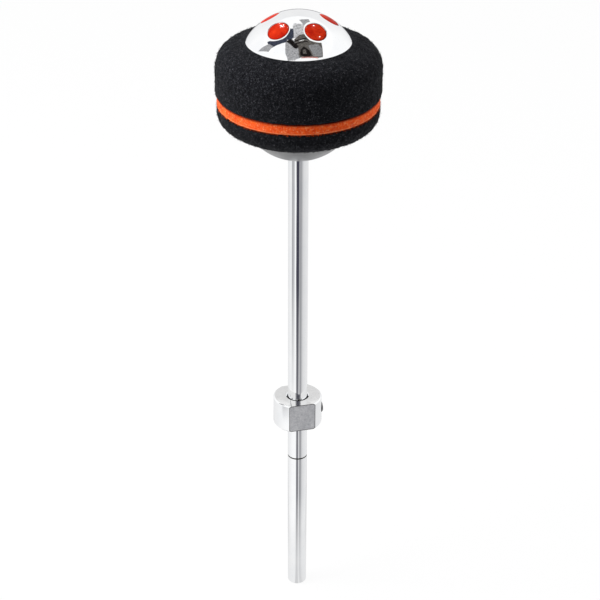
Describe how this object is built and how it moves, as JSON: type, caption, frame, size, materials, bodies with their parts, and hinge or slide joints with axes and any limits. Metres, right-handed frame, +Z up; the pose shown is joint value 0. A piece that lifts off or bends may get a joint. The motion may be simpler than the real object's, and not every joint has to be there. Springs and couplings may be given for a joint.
{
  "type": "bass drum beater",
  "caption": "Bass drum pedal beater: plated steel shaft with a sliding weight collar and a layered felt head clamped between plated domes, the upper one pierced over a red hub.",
  "frame": {"origin": "centre of the shaft's lower end", "axes": "+Z up along the shaft towards the head; +X along the collar's set screw, out of its socket; the collar's flats face -Y and +Y"},
  "size_m": [0.0644, 0.0644, 0.2637],
  "materials": {
    "chrome_plate": "polished chrome plate",
    "satin_plate": "satin plate, as pressed",
    "collar_plate": "polished ends and rim, satin milled flats",
    "black_oxide": "black oxide",
    "black_felt": "dense pressed wool felt with a short nap",
    "orange_felt": "dense pressed wool felt with a short nap",
    "red_plastic": "glossy moulding",
    "sleeve_plastic": "plain moulding",
    "zinc_steel": "zinc plate"
  },
  "bodies": {
    "beater": {"shaft": "chrome_plate", "lower_dome": "satin_plate", "lower_hub": "red_plastic", "lower_clamp_washer": "zinc_steel", "lower_felt": "black_felt", "stripe_felt": "orange_felt", "upper_felt": "black_felt", "core_sleeve": "sleeve_plastic", "upper_hub": "red_plastic", "upper_clamp_washer": "zinc_steel", "spring_washer": "zinc_steel", "clamp_nut": "zinc_steel", "upper_dome": "chrome_plate"},
    "collar": {"weight_collar": "collar_plate"},
    "set_screw": {"collar_set_screw": "black_oxide"}
  },
  "joints": [
    {"name": "collar_slide", "type": "slide", "parent": "beater", "child": "collar", "axis": [0, 0, 1], "range_m": [-0.0819, 0.1089]},
    {"name": "set_screw_turn", "type": "hinge", "parent": "collar", "child": "set_screw", "pos_m": [0.0105, 0, 0.0883], "axis": [1, 0, 0], "range_deg": [0, 360]}
  ]
}
